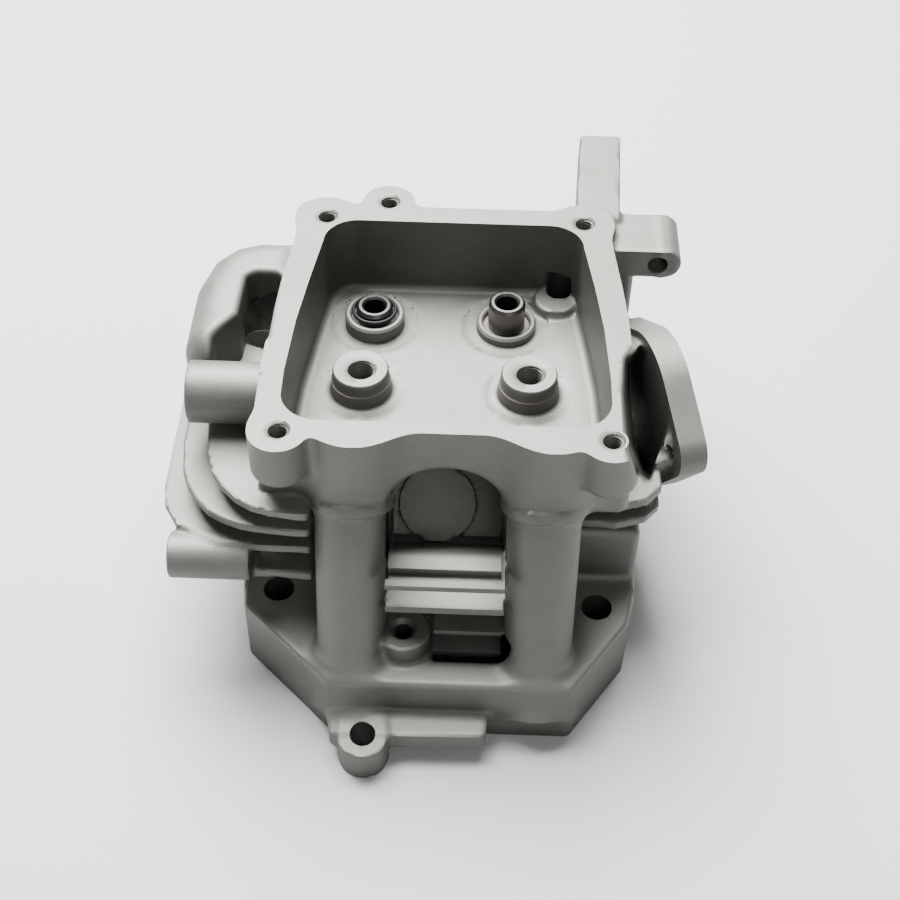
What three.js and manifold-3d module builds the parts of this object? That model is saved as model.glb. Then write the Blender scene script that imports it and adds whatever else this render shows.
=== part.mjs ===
// Cylinder head of an air-cooled single-cylinder overhead-valve engine.
// The head is one aluminium die casting. It is carried here as separate sections, such as
// the deck, the rocker box walls and the fins, with a hairline gap between neighbours.
// The pressed-in steel pieces are the two valve guides, a clip on one guide, and two valve seats.
// Units are millimetres. +Z is up, away from the cylinder. -Y is the push-rod side.
// +X is the intake side. The origin is the middle of the overall footprint on the deck plane.

import * as THREE from 'three';
import { mergeVertices } from 'three/addons/utils/BufferGeometryUtils.js';
import Module from 'manifold-3d';

const wasm = await Module();
wasm.setup();

// Driving heights, measured from the deck (gasket) face.
const COVER_Z = 93;
const CHAMBER_FLOOR_Z = 67;
const FLOOR_UNDERSIDE_Z = 63;
const DECK_TOP_Z = 23;
const CHAMBER_ROOF_Z = 12;

// Clearance kept between neighbouring sections.
const GAP = 0.3;
// Edges shorter than this are tidied away after a cut.
const SLIVER = 0.02;
// Corners closer than this become one.
const WELD = 0.001;

// Rocker box and its cover screws.
const BOX_X = 3.5;
const COVER_SCREW_FRONT = { half: 43.35, y: -46.75, r: 8 };
const COVER_SCREW_REAR = { half: 38.55, y: 43.75, r: 9 };
const COVER_SCREW_TAP_R = 2.5;
const COVER_SCREW_DEPTH = 13;

// Valve gear.
const VALVE_HALF_SPACING = 19.9;
const VALVE_Y = 25.5;
const GUIDE_R = 5.5;
const GUIDE_BORE_R = 3.3;
const GUIDE_BOTTOM_Z = 44;
const STUD_Y = -3.5;
const STUD_X = [-22, 26.5];
const STUD_TAP_R = 3.4;

// Deck fixings.
const HEAD_BOLTS = [[-44.5, -43.5], [48.5, -46.5], [-40, 58], [30, 58]];
const HEAD_BOLT_R = 4.5;

// Push-rod tubes: centre at the deck top, and the slope of the leaning axis.
const TUBE_X = [-21.5, 31];
const TUBE_Y = -64.4;
const TUBE_SLOPE = 0.466;
const TUBE_FOOT_R = 9.3;
const TUBE_HEAD_R = 10.6;
const TUBE_BORE_R = 6;

// ---------- shape helpers ----------

const AXES_FOR_X = new THREE.Matrix4().makeBasis(
  new THREE.Vector3(0, 1, 0), new THREE.Vector3(0, 0, 1), new THREE.Vector3(1, 0, 0));
const AXES_FOR_Y = new THREE.Matrix4().makeBasis(
  new THREE.Vector3(1, 0, 0), new THREE.Vector3(0, 0, 1), new THREE.Vector3(0, -1, 0));

// A closed three.js geometry as a solid that can be joined and cut.
function solid(geometry) {
  const bare = geometry.clone();
  bare.deleteAttribute('normal');
  bare.deleteAttribute('uv');
  const merged = mergeVertices(bare, 1e-4);
  return new wasm.Manifold(new wasm.Mesh({
    numProp: 3,
    vertProperties: new Float32Array(merged.attributes.position.array),
    triVerts: new Uint32Array(merged.index.array),
  }));
}

function outline(points) {
  return new THREE.Shape(points.map(([a, b]) => new THREE.Vector2(a, b)));
}

function extruded(shape, depth, curveSegments = 10) {
  return new THREE.ExtrudeGeometry(shape, { depth, bevelEnabled: false, curveSegments });
}

// A plan outline standing from z0 to z1.
function plate(shape, z0, z1, curveSegments) {
  return solid(extruded(shape, z1 - z0, curveSegments).translate(0, 0, z0));
}

// A (y, z) outline running from x0 to x1.
function slabX(shape, x0, x1, curveSegments) {
  return solid(extruded(shape, x1 - x0, curveSegments).applyMatrix4(AXES_FOR_X).translate(x0, 0, 0));
}

function block([x0, x1], [y0, y1], [z0, z1]) {
  const box = new THREE.BoxGeometry(x1 - x0, y1 - y0, z1 - z0);
  return solid(box.translate((x0 + x1) / 2, (y0 + y1) / 2, (z0 + z1) / 2));
}

// A round bar, straight or tapered, between two points.
function rod(from, to, r0, r1 = r0, segments = 24) {
  const a = new THREE.Vector3(...from);
  const b = new THREE.Vector3(...to);
  const along = b.clone().sub(a);
  const bar = new THREE.CylinderGeometry(r1, r0, along.length(), segments);
  const turn = new THREE.Quaternion().setFromUnitVectors(
    new THREE.Vector3(0, 1, 0), along.clone().normalize());
  const middle = a.add(b).multiplyScalar(0.5);
  return solid(bar.applyQuaternion(turn).translate(middle.x, middle.y, middle.z));
}

function post(x, y, z0, z1, r0, r1 = r0, segments = 24) {
  return rod([x, y, z0], [x, y, z1], r0, r1, segments);
}

function joined(bodies) {
  return bodies.reduce((whole, body) => whole.add(body));
}

// The largest closed body, without the slivers that a cut can leave.
function largest(body) {
  return body.decompose().sort((a, b) => b.volume() - a.volume())[0].simplify(SLIVER);
}

// A solid as an indexed geometry, without the needle triangles that rounding can leave.
function geometryOf(body) {
  const mesh = body.getMesh();
  const raw = new THREE.BufferGeometry();
  raw.setAttribute('position', new THREE.BufferAttribute(mesh.vertProperties, 3));
  raw.setIndex(new THREE.BufferAttribute(mesh.triVerts, 1));
  const merged = mergeVertices(raw, WELD);
  const corners = merged.index.array;
  const kept = [];
  for (let i = 0; i < corners.length; i += 3) {
    const [a, b, c] = corners.slice(i, i + 3);
    if (a !== b && b !== c && c !== a) {
      kept.push(a, b, c);
    }
  }
  merged.setIndex(kept);
  merged.computeVertexNormals();
  return merged;
}

// ---------- assembly ----------

const head = new THREE.Group();

const FINISH = {
  cast: { color: 0xa9a79f, roughness: 0.62, metalness: 0.75 },
  guide: { color: 0x5c5a57, roughness: 0.38, metalness: 0.95 },
  clip: { color: 0x2e2d2c, roughness: 0.5, metalness: 0.85 },
  seat: { color: 0x7d7c7a, roughness: 0.32, metalness: 0.95 },
};

// Adds a named piece.
function place(name, body, finish = 'cast') {
  const node = new THREE.Mesh(geometryOf(largest(body)), new THREE.MeshStandardMaterial(FINISH[finish]));
  node.name = name;
  head.add(node);
}

// ---------- hollows that run through several sections ----------

const SIDES = [
  { name: 'exhaust', x: -VALVE_HALF_SPACING, guideTop: 74, throat: 12.2, seat: 16, lip: 4.2 },
  { name: 'intake', x: VALVE_HALF_SPACING, guideTop: 76.8, throat: 14, seat: 18, lip: 2.4 },
];
const [EXHAUST, INTAKE] = SIDES;

function pushRodPoint(x, z) {
  return [x, TUBE_Y + TUBE_SLOPE * (z - DECK_TOP_Z), z];
}

const pushRodBores = joined(TUBE_X.flatMap((x) => [
  post(x, TUBE_Y, -2, DECK_TOP_Z, TUBE_BORE_R, TUBE_BORE_R, 20),
  rod(pushRodPoint(x, DECK_TOP_Z - 2), pushRodPoint(x, COVER_Z - 6), TUBE_BORE_R, TUBE_BORE_R, 20),
]));

const headBoltHoles = joined(HEAD_BOLTS.map(([x, y]) => post(x, y, -2, DECK_TOP_Z + 4, HEAD_BOLT_R)));

// Intake port: up from the seat, then out sideways to its flange.
const INTAKE_BEND = [INTAKE.x, VALVE_Y, 33];
const INTAKE_MOUTH = [79, 6, 51];
const intakePort = joined([
  post(INTAKE.x, VALVE_Y, CHAMBER_ROOF_Z - 1, 38, INTAKE.throat),
  rod(INTAKE_BEND, INTAKE_MOUTH, 13, 13),
]);

// Exhaust port: up from the seat, then out towards the rear left.
const EXHAUST_BEND = [EXHAUST.x, VALVE_Y, 31];
const EXHAUST_MOUTH = [-80, 36, 34];
const exhaustPort = joined([
  post(EXHAUST.x, VALVE_Y, CHAMBER_ROOF_Z - 1, 36, EXHAUST.throat),
  rod(EXHAUST_BEND, EXHAUST_MOUTH, 11.5, 11.5),
]);

// Combustion chamber: one bath around both valves and the plug.
const combustionChamber = joined([
  ...SIDES.map((side) => post(side.x, VALVE_Y, -2, CHAMBER_ROOF_Z, side.seat + 2.5, side.seat + 1)),
  post(-3, 0, -2, CHAMBER_ROOF_Z, 21, 17),
  post(0, VALVE_Y - 6, -2, CHAMBER_ROOF_Z, 20, 18),
]);

// Spark plug hole, leaning in from the left above the exhaust port.
const PLUG_SEAT = [-56, 24, 65];
const PLUG_TIP = [-15, -4, 10];
const PLUG_R = 6.2;
const plugHole = rod(PLUG_SEAT, PLUG_TIP, PLUG_R, PLUG_R, 28);

// Cooling-air passage between the push-rod tubes. Its arched roof slopes down towards the back.
const PASSAGE_X = 4.2;
const PASSAGE_R = 16.2;
const PASSAGE_SLOPE = 0.9;
const PASSAGE_DROP = 19;
const PASSAGE_FLOOR_Z = 30;
const PASSAGE_MOUTH = { y: -46.5, z: 80 - PASSAGE_R };
const PASSAGE_FROM_Y = -70;
const PASSAGE_TO_Y = -12;
const passageShear = new THREE.Matrix4().makeShear(0, 0, 0, -PASSAGE_SLOPE, 0, 0);

function passageHollow(grow) {
  const reach = PASSAGE_R + grow;
  const arch = new THREE.Shape();
  arch.absarc(PASSAGE_X, 0, reach, 0, Math.PI, false);
  arch.lineTo(PASSAGE_X - reach, -PASSAGE_DROP);
  arch.lineTo(PASSAGE_X + reach, -PASSAGE_DROP);
  return solid(extruded(arch, PASSAGE_TO_Y - PASSAGE_FROM_Y, 10)
    .applyMatrix4(AXES_FOR_Y)
    .translate(0, PASSAGE_TO_Y - PASSAGE_MOUTH.y, 0)
    .applyMatrix4(passageShear)
    .translate(0, PASSAGE_MOUTH.y, PASSAGE_MOUTH.z))
    .intersect(block([-40, 40], [-80, 0], [PASSAGE_FLOOR_Z, COVER_Z]));
}
const airPassage = passageHollow(0);

const guideHoles = joined(SIDES.map((side) => post(side.x, VALVE_Y, 40, 80, GUIDE_R + GAP)));
const seatPockets = joined(SIDES.map((side) =>
  post(side.x, VALVE_Y, CHAMBER_ROOF_Z - 1, CHAMBER_ROOF_Z + 7 + GAP, side.seat + GAP)));
const oilReturn = post(35.5, 38.5, 58, 80, 3.6, 3.6, 20);

const hollows = joined([
  pushRodBores, headBoltHoles, intakePort, exhaustPort, combustionChamber, plugHole, airPassage,
  guideHoles, seatPockets, oilReturn,
]);

// Adds a section of the casting, with the hollows and its neighbours' room cut away.
function cast(name, body, rooms = []) {
  place(name, rooms.reduce((rest, room) => rest.subtract(room), body.subtract(hollows)));
}

// ---------- rocker box outline ----------

// The box seen from above. Its sides bulge a little and it narrows towards the rear.
function boxOutline(grow, side, waist, frontY, rearY, corner) {
  const front = frontY - grow;
  const rear = rearY + grow;
  const wide = side + grow;
  const narrow = waist + grow;
  const shape = new THREE.Shape();
  shape.moveTo(BOX_X - wide + corner, front);
  shape.lineTo(BOX_X + wide - corner, front);
  shape.quadraticCurveTo(BOX_X + wide, front, BOX_X + wide, front + corner);
  shape.quadraticCurveTo(BOX_X + wide + 0.8, -5, BOX_X + narrow, rear - corner);
  shape.quadraticCurveTo(BOX_X + narrow - 0.6, rear, BOX_X + narrow - corner, rear);
  shape.lineTo(BOX_X - narrow + corner, rear);
  shape.quadraticCurveTo(BOX_X - narrow + 0.6, rear, BOX_X - narrow, rear - corner);
  shape.quadraticCurveTo(BOX_X - wide - 0.8, -5, BOX_X - wide, front + corner);
  shape.quadraticCurveTo(BOX_X - wide, front, BOX_X - wide + corner, front);
  return shape;
}

function boxOuter(grow = 0) {
  return boxOutline(grow, 50.2, 45.2, -46.6, 49.3, 4);
}

function boxInner(grow = 0) {
  return boxOutline(grow, 43.8, 36.6, -42.3, 41.3, 9);
}

const CORNERS = [
  { name: 'front_left', sign: -1, at: COVER_SCREW_FRONT, y: [-60, -36] },
  { name: 'front_right', sign: 1, at: COVER_SCREW_FRONT, y: [-60, -36] },
  { name: 'rear_left', sign: -1, at: COVER_SCREW_REAR, y: [34, 60] },
  { name: 'rear_right', sign: 1, at: COVER_SCREW_REAR, y: [34, 60] },
];

const BOSS_DEPTH = 15;
const REAR_EAR = { x: -16.8, y: 51.6, r: 7.8 };

function cornerPosts(grow) {
  return joined(CORNERS.map(({ sign, at }) =>
    post(BOX_X + sign * at.half, at.y, COVER_Z - BOSS_DEPTH - grow, COVER_Z + grow, at.r + grow, at.r + grow, 32)));
}

function pushRodLobes(z0, z1, grow = 0) {
  return joined(TUBE_X.map((x) => post(x + 1, -39.4, z0, z1, 13 + grow, 13 + grow, 32)));
}

// ---------- room that a section leaves for its neighbours ----------

const boxRoom = joined([
  plate(boxOuter(GAP), FLOOR_UNDERSIDE_Z - GAP, COVER_Z + 2),
  pushRodLobes(FLOOR_UNDERSIDE_Z - GAP, COVER_Z + 2, GAP),
  cornerPosts(GAP),
]);

const BODY_PLAN = [[-36, -28], [40, -28], [42, 47], [-40, 47]];
const bodyRoom = plate(outline([[-36.4, -28.4], [40.4, -28.4], [42.4, 47.4], [-40.4, 47.4]]), 10, 80);

// ---------- pressed-in steel pieces ----------

for (const side of SIDES) {
  const sleeve = post(side.x, VALVE_Y, GUIDE_BOTTOM_Z, side.guideTop, GUIDE_R);
  const bore = post(side.x, VALVE_Y, GUIDE_BOTTOM_Z - 1, side.guideTop + 1, GUIDE_BORE_R, GUIDE_BORE_R, 24);
  place(`valve_guide_${side.name}`, sleeve.subtract(bore), 'guide');
}

const clipRing = post(EXHAUST.x, VALVE_Y, 71.6, 72.9, 6.9)
  .subtract(post(EXHAUST.x, VALVE_Y, 71, 74, GUIDE_R + GAP));
place('valve_guide_clip', clipRing, 'clip');

for (const side of SIDES) {
  const ring = post(side.x, VALVE_Y, CHAMBER_ROOF_Z, CHAMBER_ROOF_Z + 7, side.seat);
  const throat = post(side.x, VALVE_Y, CHAMBER_ROOF_Z - 1, CHAMBER_ROOF_Z + 8, side.throat + 0.6);
  const bevel = post(side.x, VALVE_Y, CHAMBER_ROOF_Z - 1, CHAMBER_ROOF_Z + 2.2, side.seat + 0.4, side.throat);
  place(`valve_seat_${side.name}`, ring.subtract(throat).subtract(bevel), 'seat');
}

// ---------- deck ----------

const DECK = outline([
  [-28, -76], [41, -76], [57.5, -52], [60, -40], [60, 40], [44, 68], [-38, 68],
  [-56, 45], [-55.5, -40], [-54, -50],
]);
cast('deck_flange', plate(DECK, 0, DECK_TOP_Z));

const LEDGE = outline([[-27, -76.3], [18, -76.3], [17, -84.2], [-27, -85.3]]);
const LUG = { x: -17.3, y: -85, r: 7, hole: 3.6 };
const ledge = plate(LEDGE, 5.5, 11)
  .add(post(LUG.x, LUG.y, 0, 11, LUG.r))
  .add(block([LUG.x - LUG.r, LUG.x + LUG.r], [LUG.y, -76.3], [0, 11]))
  .subtract(post(LUG.x, LUG.y, -1, 12, LUG.hole, LUG.hole, 24));
cast('front_ledge_lug', ledge);

// ---------- rocker box ----------

cast('rocker_box_floor', plate(boxOuter(), FLOOR_UNDERSIDE_Z, CHAMBER_FLOOR_Z)
  .add(pushRodLobes(FLOOR_UNDERSIDE_Z, CHAMBER_FLOOR_Z)));

const WALL_FOOT_Z = CHAMBER_FLOOR_Z + GAP;
const ring = plate(boxOuter(), WALL_FOOT_Z, COVER_Z)
  .add(pushRodLobes(WALL_FOOT_Z, COVER_Z))
  .subtract(plate(boxInner(), CHAMBER_FLOOR_Z - 1, COVER_Z + 1));

// The inner edge of a corner section, measured inwards from its screw.
const CORNER_INWARD = 6;

for (const corner of CORNERS) {
  const x = BOX_X + corner.sign * corner.at.half;
  const { y, r } = corner.at;
  const spanX = [x - corner.sign * CORNER_INWARD, x + corner.sign * 30].sort((a, b) => a - b);
  const shell = ring.intersect(block(spanX, corner.y, [CHAMBER_FLOOR_Z, COVER_Z]));
  const boss = post(x, y, COVER_Z - BOSS_DEPTH, COVER_Z, r, r, 32);
  const tap = post(x, y, COVER_Z - COVER_SCREW_DEPTH, COVER_Z + 1, COVER_SCREW_TAP_R, COVER_SCREW_TAP_R, 20);
  cast(`cover_screw_boss_${corner.name}`, shell.add(boss).subtract(tap));
}

function acrossBox(half, yRange) {
  const reach = half - CORNER_INWARD - GAP;
  return block([BOX_X - reach, BOX_X + reach], yRange, [CHAMBER_FLOOR_Z, COVER_Z]);
}

// The middle of the front wall leans back over the air passage.
const RAMP = outline([[-42.8, 85], [-42.8, WALL_FOOT_Z], [-21, WALL_FOOT_Z]]);
const frontWall = ring.intersect(acrossBox(COVER_SCREW_FRONT.half, [-60, -36]))
  .add(slabX(RAMP, PASSAGE_X - 19, PASSAGE_X + 19));
cast('rocker_box_front_wall', frontWall, [cornerPosts(GAP)]);

const earPost = post(REAR_EAR.x, REAR_EAR.y, COVER_Z - 14, COVER_Z, REAR_EAR.r, REAR_EAR.r, 32);
const earTap = post(REAR_EAR.x, REAR_EAR.y, COVER_Z - 12, COVER_Z + 1, COVER_SCREW_TAP_R, COVER_SCREW_TAP_R, 20);
const rearWall = ring.intersect(acrossBox(COVER_SCREW_REAR.half, [34, 60]))
  .add(earPost.intersect(block([-40, 20], [44, 70], [60, COVER_Z])))
  .subtract(earTap);
cast('rocker_box_rear_wall', rearWall, [cornerPosts(GAP)]);

const SIDE_WALL_Y = [-36 + GAP, 34 - GAP];
const LEFT_HALF = block([-60, BOX_X - 30], SIDE_WALL_Y, [60, COVER_Z]);
const RIGHT_HALF = block([BOX_X + 30, 60], SIDE_WALL_Y, [60, COVER_Z]);
cast('rocker_box_left_wall', ring.intersect(LEFT_HALF), [cornerPosts(GAP)]);
cast('rocker_box_right_wall', ring.intersect(RIGHT_HALF), [cornerPosts(GAP)]);

STUD_X.forEach((x, index) => {
  const boss = post(x, STUD_Y, WALL_FOOT_Z, CHAMBER_FLOOR_Z + 8, 9.3, 8.1, 32);
  const tap = post(x, STUD_Y, CHAMBER_FLOOR_Z - 6, CHAMBER_FLOOR_Z + 9, STUD_TAP_R, STUD_TAP_R, 20);
  const mouth = post(x, STUD_Y, CHAMBER_FLOOR_Z + 6.8, CHAMBER_FLOOR_Z + 8.1, STUD_TAP_R, 4.8, 20);
  cast(`rocker_stud_boss_${index ? 'intake' : 'exhaust'}`, boss.subtract(tap).subtract(mouth));
});

for (const side of SIDES) {
  cast(`valve_guide_hub_${side.name}`, post(side.x, VALVE_Y, WALL_FOOT_Z, CHAMBER_FLOOR_Z + side.lip, 9, 8.4, 32));
}

const drainBoss = post(36, 37, WALL_FOOT_Z, CHAMBER_FLOOR_Z + 4, 7, 6, 24)
  .intersect(plate(boxInner(-GAP), 60, COVER_Z));
cast('oil_drain_boss', drainBoss);

// ---------- push-rod tubes ----------

const BETWEEN_Z = [DECK_TOP_Z + GAP, FLOOR_UNDERSIDE_Z - GAP];

function pushRodTube(x, grow) {
  const foot = pushRodPoint(x, DECK_TOP_Z - 6);
  const top = pushRodPoint(x, CHAMBER_FLOOR_Z + 6);
  return rod(foot, top, TUBE_FOOT_R + grow, TUBE_HEAD_R + grow, 32)
    .intersect(block([-80, 80], [-90, 20], BETWEEN_Z));
}

TUBE_X.forEach((x, index) => {
  cast(`push_rod_tube_${index ? 'right' : 'left'}`, pushRodTube(x, 0));
});
const tubeRoom = joined(TUBE_X.map((x) => pushRodTube(x, GAP)));

// ---------- body between deck and rocker box ----------

// The body is held in four sections: each valve's side, below and above the foot of its guide.
const BODY_SPLIT_Z = 44;
const body = plate(outline(BODY_PLAN), ...BETWEEN_Z);
for (const [side, fromX, toX] of [['exhaust', -100, -GAP], ['intake', 0, 100]]) {
  const half = body.intersect(block([fromX, toX], [-100, 100], BETWEEN_Z));
  const upper = half.intersect(block([-100, 100], [-100, 100], [BODY_SPLIT_Z, BETWEEN_Z[1] + GAP]));
  const lower = half.intersect(block([-100, 100], [-100, 100], [BETWEEN_Z[0] - GAP, BODY_SPLIT_Z - GAP]));
  cast(`port_body_${side}_lower`, lower);
  cast(`port_body_${side}_upper`, upper);
}

// The block and fins between the push-rod tubes.
const PASSAGE_SPAN = [-10.8, 20.2];
const FIN_THICKNESS = 2.4;
cast('passage_front_block', block(PASSAGE_SPAN, [-52, -28 - GAP], [DECK_TOP_Z + GAP, 51]), [tubeRoom]);

// A small tapped boss stands on the deck beside the left tube, and the lowest fin stops at it.
const SMALL_BOSS = { x: -7, y: -61.5, r: 7.6, hole: 3, topZ: 29.5 };
const smallBoss = post(SMALL_BOSS.x, SMALL_BOSS.y, DECK_TOP_Z + GAP, SMALL_BOSS.topZ, SMALL_BOSS.r);
const smallBossRoom = post(SMALL_BOSS.x, SMALL_BOSS.y, DECK_TOP_Z, 36, SMALL_BOSS.r + GAP);
const smallTap = post(SMALL_BOSS.x, SMALL_BOSS.y, DECK_TOP_Z, 36, SMALL_BOSS.hole, SMALL_BOSS.hole, 20);

[51, 41.5, 32].forEach((top, index) => {
  const fin = block(PASSAGE_SPAN, [-63, -52 - GAP], [top - FIN_THICKNESS, top]);
  cast(`passage_fin_${index + 1}`, fin, [tubeRoom, smallBossRoom]);
});
const behindSmallBoss = block([-40, 40], [-52 - GAP, -30], [20, 40]);
cast('small_tapped_boss', smallBoss.subtract(smallTap).subtract(behindSmallBoss), [tubeRoom]);

// A sloping plate with a raised disc closes the back of the air passage.
const BAFFLE_NORMAL = new THREE.Vector3(0, -0.72, 0.694);
const BAFFLE_DISC = { x: 1.2, y: -21.5, z: 38.3, r: 11.4, height: 1.6 };
const BAFFLE = outline([[-27.6, 32], [-25.4, 30.4], [-12.5, 43.2], [-12.5, 47.7]]);
const baffle = slabX(BAFFLE, PASSAGE_X - PASSAGE_R + GAP, PASSAGE_X + PASSAGE_R - GAP);
const discCentre = new THREE.Vector3(BAFFLE_DISC.x, BAFFLE_DISC.y, BAFFLE_DISC.z);
const disc = rod(
  discCentre.clone().addScaledVector(BAFFLE_NORMAL, -1).toArray(),
  discCentre.clone().addScaledVector(BAFFLE_NORMAL, BAFFLE_DISC.height).toArray(),
  BAFFLE_DISC.r, BAFFLE_DISC.r, 32,
).intersect(block([-30, 30], [-40, -12.5], [30.4, 60]));
place('passage_baffle', baffle.add(disc).intersect(passageHollow(-GAP)));

// ---------- intake side ----------

// The flange stands upright and is turned a little towards the rear.
// Its outline is given as (distance along the flange from its rear end, height).
const FLANGE_REAR = [59.3, 32.5];
const FLANGE_YAW = Math.atan2(18, 59);
const FLANGE_THICKNESS = 8;
const FLANGE_DISCS = [[31, 62, 21], [52.5, 63, 8.3], [31, 50, 18], [9.5, 38, 8.3], [8, 64, 7]];
const FLANGE_STUDS = [[52.5, 63], [9.5, 38]];
const FLANGE_STUD_R = 3.3;

// The smallest convex outline round a set of discs (x, y, radius).
function hullOfDiscs(discs, segments) {
  const points = [];
  for (let i = 0; i < segments; i += 1) {
    const angle = (i + 0.5) / segments * Math.PI * 2;
    const reach = discs.map(([x, y, r]) => x * Math.cos(angle) + y * Math.sin(angle) + r);
    const [x, y, r] = discs[reach.indexOf(Math.max(...reach))];
    points.push([x + r * Math.cos(angle), y + r * Math.sin(angle)]);
  }
  return outline(points);
}

// From (along, height) and inward depth, to the head's own frame.
function flangePoint(along, depth, height) {
  return [
    FLANGE_REAR[0] + along * Math.sin(FLANGE_YAW) - depth * Math.cos(FLANGE_YAW),
    FLANGE_REAR[1] - along * Math.cos(FLANGE_YAW) - depth * Math.sin(FLANGE_YAW),
    height,
  ];
}

function flangePrism(shape, depth) {
  const alongFlange = new THREE.Matrix4().makeBasis(
    new THREE.Vector3(Math.sin(FLANGE_YAW), -Math.cos(FLANGE_YAW), 0),
    new THREE.Vector3(0, 0, 1),
    new THREE.Vector3(-Math.cos(FLANGE_YAW), -Math.sin(FLANGE_YAW), 0));
  return solid(extruded(shape, depth, 8).applyMatrix4(alongFlange).translate(...FLANGE_REAR, 0));
}

const flangeStuds = joined(FLANGE_STUDS.map(([along, z]) =>
  rod(flangePoint(along, -2, z), flangePoint(along, 14, z), FLANGE_STUD_R, FLANGE_STUD_R, 20)));
const flangeShape = hullOfDiscs(FLANGE_DISCS, 40);
cast('intake_flange', flangePrism(flangeShape, FLANGE_THICKNESS).subtract(flangeStuds), [boxRoom]);
const flangeRoom = flangePrism(flangeShape, FLANGE_THICKNESS + GAP)
  .add(flangePrism(outline([[-10, 20], [75, 20], [75, 90], [-10, 90]]), GAP));

// The runner that carries the port from the body to the flange.
const RUNNER_R = 17;
function runner(grow) {
  return rod(INTAKE_BEND, INTAKE_MOUTH, RUNNER_R + grow, RUNNER_R + grow, 28);
}
const behindFlange = flangePrism(outline([[-20, 10], [90, 10], [90, 80], [-20, 80]]), 60)
  .translate([-(FLANGE_THICKNESS + GAP) * Math.cos(FLANGE_YAW), -(FLANGE_THICKNESS + GAP) * Math.sin(FLANGE_YAW), 0]);
const runnerSpan = block([42.3 + GAP, 80], [-30, 45], BETWEEN_Z);
cast('intake_runner', runner(0).intersect(runnerSpan).intersect(behindFlange));

const SIDE_BLOCK_TOP_Z = 43;
cast('intake_side_block', block([42.3 + GAP, 60], [-35, 44], [DECK_TOP_Z + GAP, SIDE_BLOCK_TOP_Z]),
  [runner(GAP), flangeRoom]);

const RIGHT_FIN = outline([
  [39, -37.5], [52, -38.5], [60, -36], [64.5, -31], [64.5, -16], [60, 40], [39, 44],
]);
[[56, 59], [48.5, 51.5]].forEach(([z0, z1], index) => {
  cast(`intake_fin_${index + 1}`, plate(RIGHT_FIN, z0, z1), [bodyRoom, runner(GAP), flangeRoom]);
});

// ---------- exhaust side ----------

function exhaustHousing(grow) {
  return rod([-36, VALVE_Y + 4, 33], [-80, 37.5, 36.5], 18 + grow, 17 + grow, 28)
    .intersect(block([-72 - grow, -40.4], [10, 60], [DECK_TOP_Z + GAP, 59 + grow]));
}
cast('exhaust_port_housing', exhaustHousing(0));

function lowerBoss(grow) {
  return rod([-72.8 - grow, -50, 45], [-56 + grow, -50, 45], 6.5 + grow, 6.5 + grow, 28);
}
cast('shroud_boss_lower', lowerBoss(0));
cast('shroud_boss_upper', rod([-69, -17, 76.8], [-40, -17, 76.8], 8.5, 8.5, 28), [boxRoom]);

// A curved wall that shelters the spark plug. It is open towards the push-rod side.
const WELL = new THREE.Shape();
WELL.moveTo(-40, 46);
WELL.lineTo(-58, 46);
WELL.quadraticCurveTo(-73, 44, -73, 22);
WELL.lineTo(-73, 0);
WELL.quadraticCurveTo(-73, -7, -67, -7);
WELL.quadraticCurveTo(-63, -6, -63, 0);
WELL.lineTo(-63, 20);
WELL.quadraticCurveTo(-62, 32, -52, 33);
WELL.lineTo(-40, 33);
cast('spark_plug_well_wall', plate(WELL, 60 + GAP, 85), [boxRoom]);

const LEFT_FINS = [
  { z: [65, 68], plan: [[-32.6, -54], [-43, -52.6], [-48.4, -51], [-52.8, -48.3], [-57, -44], [-60.4, -38.7],
    [-62.6, -31], [-64, -21], [-64, -8], [-32.6, -8]] },
  { z: [57.5, 60], plan: [[-32.6, -53], [-46, -52], [-52, -51], [-57, -49], [-61.5, -46.3], [-65.4, -42],
    [-68.4, -37], [-70.4, -31.6], [-72, -20], [-72, 4], [-32.6, 14]] },
  { z: [49.5, 52], plan: [[-32.6, -52], [-47, -51.6], [-59, -50.4], [-71, -45], [-75.6, -37.2], [-76.8, -30],
    [-77, -12], [-77, 4.4], [-75, 11], [-32.6, 16]] },
  { z: [38.5, 41.5], plan: [[-32.6, -52.5], [-60, -51], [-62, -40], [-62, 6], [-32.6, 6]] },
];
LEFT_FINS.forEach((fin, index) => {
  cast(`exhaust_fin_${index + 1}`, plate(outline(fin.plan), ...fin.z),
    [boxRoom, bodyRoom, lowerBoss(GAP), exhaustHousing(GAP)]);
});

// ---------- bracket at the rear right ----------

const ARM = outline([[39.8, 50], [53.2, 50], [55.4, 92], [42.4, 92]]);
const arm = plate(ARM, 80, 91.5).subtract(rod([30, 84, 86], [70, 84, 86], 3, 3, 20));
cast('bracket_arm', arm, [boxRoom]);

const EAR = { y: [35, 53.5], z: [80, 90], holeX: 64.5, endX: 71.5 };
const earEnd = { x: EAR.endX - 5, z: (EAR.z[0] + EAR.z[1]) / 2 };
const ear = block([46, earEnd.x], EAR.y, EAR.z)
  .add(rod([earEnd.x, EAR.y[0], earEnd.z], [earEnd.x, EAR.y[1], earEnd.z], 5, 5, 28))
  .subtract(rod([EAR.holeX, 30, earEnd.z], [EAR.holeX, 60, earEnd.z], 3, 3, 20))
  .subtract(block([30, 53.6], [50 - GAP, 60], [70, 95]));
cast('bracket_ear', ear, [boxRoom]);

export default head;
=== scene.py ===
# Bare cylinder head of an air-cooled single-cylinder overhead-valve engine.
# The head is one aluminium die casting, shot-blasted after casting and then machined on its
# sealing faces and bores. Two valve guides, a clip and two valve seats are pressed into it.
# Lengths are in millimetres until a mesh is made, and +Z is up from the gasket face.

import math

import bmesh
import bpy
from mathutils import Matrix, Vector
from mathutils.geometry import delaunay_2d_cdt
import numpy as np


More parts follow.
